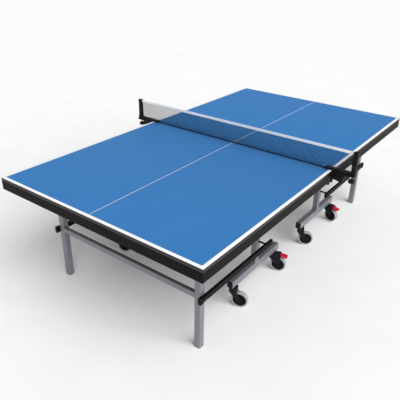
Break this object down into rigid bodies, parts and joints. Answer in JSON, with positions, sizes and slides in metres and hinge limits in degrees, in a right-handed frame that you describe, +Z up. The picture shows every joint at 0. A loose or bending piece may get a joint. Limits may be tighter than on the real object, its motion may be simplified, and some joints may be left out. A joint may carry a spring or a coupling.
{
  "type": "ping pong table",
  "caption": "Folding table for ping pong: blue top in halves on wheeled silver frames, white lines, clamp-on net.",
  "frame": {"origin": "on the floor under the middle of the net", "axes": "+X runs along the table, +Y across it along the net, and +Z up from the floor"},
  "size_m": [2.74, 1.83, 0.915],
  "materials": {
    "blue_board": "painted matt blue board",
    "black_frame": "black powder coat, satin",
    "silver_paint": "silver-grey powder coat",
    "zinc_steel": "zinc plated",
    "black_bolt": "black",
    "black_plastic": "moulded, fine grain",
    "black_rubber": "matt",
    "grey_tread": "soft grey tread",
    "red_pedal": "moulded, satin",
    "net_string": "knotted dark string",
    "white_tape": "woven white tape"
  },
  "bodies": {
    "left_carriage": {"left_base_tubes": "silver_paint", "left_uprights": "silver_paint", "left_carriage_cross_tube": "silver_paint", "left_tube_plugs": "black_plastic", "left_fold_bolts": "zinc_steel"},
    "left_top": {"left_board": "blue_board", "left_side_aprons": "black_frame", "left_end_aprons": "black_frame", "left_cross_rails": "black_frame", "left_hinge_brackets": "black_frame", "left_corner_bumpers": "black_rubber"},
    "left_leg_frame": {"left_legs": "silver_paint", "left_leg_feet": "black_rubber", "left_leg_crossbar": "silver_paint", "left_leg_bolts": "black_bolt"},
    "left_struts": {"left_struts_and_rod": "black_frame"},
    "right_carriage": {"right_base_tubes": "silver_paint", "right_uprights": "silver_paint", "right_carriage_cross_tube": "silver_paint", "right_tube_plugs": "black_plastic", "right_fold_bolts": "zinc_steel"},
    "right_top": {"right_board": "blue_board", "right_side_aprons": "black_frame", "right_end_aprons": "black_frame", "right_cross_rails": "black_frame", "right_hinge_brackets": "black_frame", "right_corner_bumpers": "black_rubber"},
    "right_leg_frame": {"right_legs": "silver_paint", "right_leg_feet": "black_rubber", "right_leg_crossbar": "silver_paint", "right_leg_bolts": "black_bolt"},
    "right_struts": {"right_struts_and_rod": "black_frame"},
    "net_set": {"net_posts": "black_plastic", "net_clamps": "black_plastic", "net_mesh": "net_string", "net_tape": "white_tape", "net_cord": "net_string"},
    "front_clamp_knob": {"clamp_knob_front": "black_plastic"},
    "rear_clamp_knob": {"clamp_knob_rear": "black_plastic"},
    "left_front_near_caster": {"left_front_near_fork": "black_plastic"},
    "left_front_near_roller": {"left_front_near_wheel": "grey_tread"},
    "left_front_near_brake": {"left_front_near_pedal": "red_pedal"},
    "left_front_far_caster": {"left_front_far_fork": "black_plastic"},
    "left_front_far_roller": {"left_front_far_wheel": "grey_tread"},
    "left_rear_near_caster": {"left_rear_near_fork": "black_plastic"},
    "left_rear_near_roller": {"left_rear_near_wheel": "grey_tread"},
    "left_rear_far_caster": {"left_rear_far_fork": "black_plastic"},
    "left_rear_far_roller": {"left_rear_far_wheel": "grey_tread"},
    "left_rear_far_brake": {"left_rear_far_pedal": "red_pedal"},
    "right_front_near_caster": {"right_front_near_fork": "black_plastic"},
    "right_front_near_roller": {"right_front_near_wheel": "grey_tread"},
    "right_front_far_caster": {"right_front_far_fork": "black_plastic"},
    "right_front_far_roller": {"right_front_far_wheel": "grey_tread"},
    "right_front_far_brake": {"right_front_far_pedal": "red_pedal"},
    "right_rear_near_caster": {"right_rear_near_fork": "black_plastic"},
    "right_rear_near_roller": {"right_rear_near_wheel": "grey_tread"},
    "right_rear_near_brake": {"right_rear_near_pedal": "red_pedal"},
    "right_rear_far_caster": {"right_rear_far_fork": "black_plastic"},
    "right_rear_far_roller": {"right_rear_far_wheel": "grey_tread"}
  },
  "joints": [
    {"name": "left_fold", "type": "hinge", "parent": "left_carriage", "child": "left_top", "pos_m": [-0.455, 0, 0.658], "axis": [0, 1, 0], "range_deg": [0, 90]},
    {"name": "left_leg_swing", "type": "hinge", "parent": "left_top", "child": "left_leg_frame", "pos_m": [-1.118, 0, 0.658], "axis": [0, 1, 0], "range_deg": [-90, 0]},
    {"name": "left_strut_swing", "type": "hinge", "parent": "left_carriage", "child": "left_struts", "pos_m": [-0.455, 0, 0.355], "axis": [0, 1, 0], "range_deg": [0, 90]},
    {"name": "right_fold", "type": "hinge", "parent": "right_carriage", "child": "right_top", "pos_m": [0.455, 0, 0.658], "axis": [0, -1, 0], "range_deg": [0, 90]},
    {"name": "right_leg_swing", "type": "hinge", "parent": "right_top", "child": "right_leg_frame", "pos_m": [1.118, 0, 0.658], "axis": [0, -1, 0], "range_deg": [-90, 0]},
    {"name": "right_strut_swing", "type": "hinge", "parent": "right_carriage", "child": "right_struts", "pos_m": [0.455, 0, 0.355], "axis": [0, -1, 0], "range_deg": [0, 90]},
    {"name": "halves_apart", "type": "slide", "parent": "left_carriage", "child": "right_carriage", "axis": [1, 0, 0], "range_m": [0, 0.6]},
    {"name": "net_lift", "type": "slide", "parent": "left_carriage", "child": "net_set", "axis": [0, 0, 1], "range_m": [0, 0.3]},
    {"name": "front_knob_turn", "type": "hinge", "parent": "net_set", "child": "front_clamp_knob", "pos_m": [0, -0.893, 0.717], "axis": [0, 0, 1], "continuous": true},
    {"name": "rear_knob_turn", "type": "hinge", "parent": "net_set", "child": "rear_clamp_knob", "pos_m": [0, 0.893, 0.717], "axis": [0, 0, 1], "continuous": true},
    {"name": "left_front_near_swivel", "type": "hinge", "parent": "left_carriage", "child": "left_front_near_caster", "pos_m": [-0.21, -0.503, 0.14], "axis": [0, 0, 1], "continuous": true},
    {"name": "left_front_near_roll", "type": "hinge", "parent": "left_front_near_caster", "child": "left_front_near_roller", "pos_m": [-0.19548, -0.5477, 0.054], "axis": [0.9511, 0.309, 0], "continuous": true},
    {"name": "left_front_near_brake_press", "type": "hinge", "parent": "left_front_near_caster", "child": "left_front_near_brake", "pos_m": [-0.19331, -0.55436, 0.127], "axis": [0.9511, 0.309, 0], "range_deg": [0, 10]},
    {"name": "left_front_far_swivel", "type": "hinge", "parent": "left_carriage", "child": "left_front_far_caster", "pos_m": [-0.7, -0.503, 0.14], "axis": [0, 0, 1], "continuous": true},
    {"name": "left_front_far_roll", "type": "hinge", "parent": "left_front_far_caster", "child": "left_front_far_roller", "pos_m": [-0.68548, -0.5477, 0.054], "axis": [0.9511, 0.309, 0], "continuous": true},
    {"name": "left_rear_near_swivel", "type": "hinge", "parent": "left_carriage", "child": "left_rear_near_caster", "pos_m": [-0.21, 0.503, 0.14], "axis": [0, 0, 1], "continuous": true},
    {"name": "left_rear_near_roll", "type": "hinge", "parent": "left_rear_near_caster", "child": "left_rear_near_roller", "pos_m": [-0.19548, 0.4583, 0.054], "axis": [0.9511, 0.309, 0], "continuous": true},
    {"name": "left_rear_far_swivel", "type": "hinge", "parent": "left_carriage", "child": "left_rear_far_caster", "pos_m": [-0.7, 0.503, 0.14], "axis": [0, 0, 1], "continuous": true},
    {"name": "left_rear_far_roll", "type": "hinge", "parent": "left_rear_far_caster", "child": "left_rear_far_roller", "pos_m": [-0.68548, 0.4583, 0.054], "axis": [0.9511, 0.309, 0], "continuous": true},
    {"name": "left_rear_far_brake_press", "type": "hinge", "parent": "left_rear_far_caster", "child": "left_rear_far_brake", "pos_m": [-0.68331, 0.45164, 0.127], "axis": [0.9511, 0.309, 0], "range_deg": [0, 10]},
    {"name": "right_front_near_swivel", "type": "hinge", "parent": "right_carriage", "child": "right_front_near_caster", "pos_m": [0.21, -0.503, 0.14], "axis": [0, 0, 1], "continuous": true},
    {"name": "right_front_near_roll", "type": "hinge", "parent": "right_front_near_caster", "child": "right_front_near_roller", "pos_m": [0.23206, -0.5445, 0.054], "axis": [0.8829, 0.4695, 0], "continuous": true},
    {"name": "right_front_far_swivel", "type": "hinge", "parent": "right_carriage", "child": "right_front_far_caster", "pos_m": [0.7, -0.503, 0.14], "axis": [0, 0, 1], "continuous": true},
    {"name": "right_front_far_roll", "type": "hinge", "parent": "right_front_far_caster", "child": "right_front_far_roller", "pos_m": [0.69184, -0.54929, 0.054], "axis": [0.9848, -0.1736, 0], "continuous": true},
    {"name": "right_front_far_brake_press", "type": "hinge", "parent": "right_front_far_caster", "child": "right_front_far_brake", "pos_m": [0.69062, -0.55618, 0.127], "axis": [0.9848, -0.1736, 0], "range_deg": [0, 10]},
    {"name": "right_rear_near_swivel", "type": "hinge", "parent": "right_carriage", "child": "right_rear_near_caster", "pos_m": [0.21, 0.503, 0.14], "axis": [0, 0, 1], "continuous": true},
    {"name": "right_rear_near_roll", "type": "hinge", "parent": "right_rear_near_caster", "child": "right_rear_near_roller", "pos_m": [0.23206, 0.4615, 0.054], "axis": [0.8829, 0.4695, 0], "continuous": true},
    {"name": "right_rear_near_brake_press", "type": "hinge", "parent": "right_rear_near_caster", "child": "right_rear_near_brake", "pos_m": [0.23535, 0.45532, 0.127], "axis": [0.8829, 0.4695, 0], "range_deg": [0, 10]},
    {"name": "right_rear_far_swivel", "type": "hinge", "parent": "right_carriage", "child": "right_rear_far_caster", "pos_m": [0.7, 0.503, 0.14], "axis": [0, 0, 1], "continuous": true},
    {"name": "right_rear_far_roll", "type": "hinge", "parent": "right_rear_far_caster", "child": "right_rear_far_roller", "pos_m": [0.69184, 0.45671, 0.054], "axis": [0.9848, -0.1736, 0], "continuous": true}
  ],
  "couplings": [
    {"joint": "left_leg_swing", "follows": "left_fold", "ratio": -1},
    {"joint": "left_strut_swing", "follows": "left_fold", "ratio": 1},
    {"joint": "right_leg_swing", "follows": "right_fold", "ratio": -1},
    {"joint": "right_strut_swing", "follows": "right_fold", "ratio": 1}
  ]
}
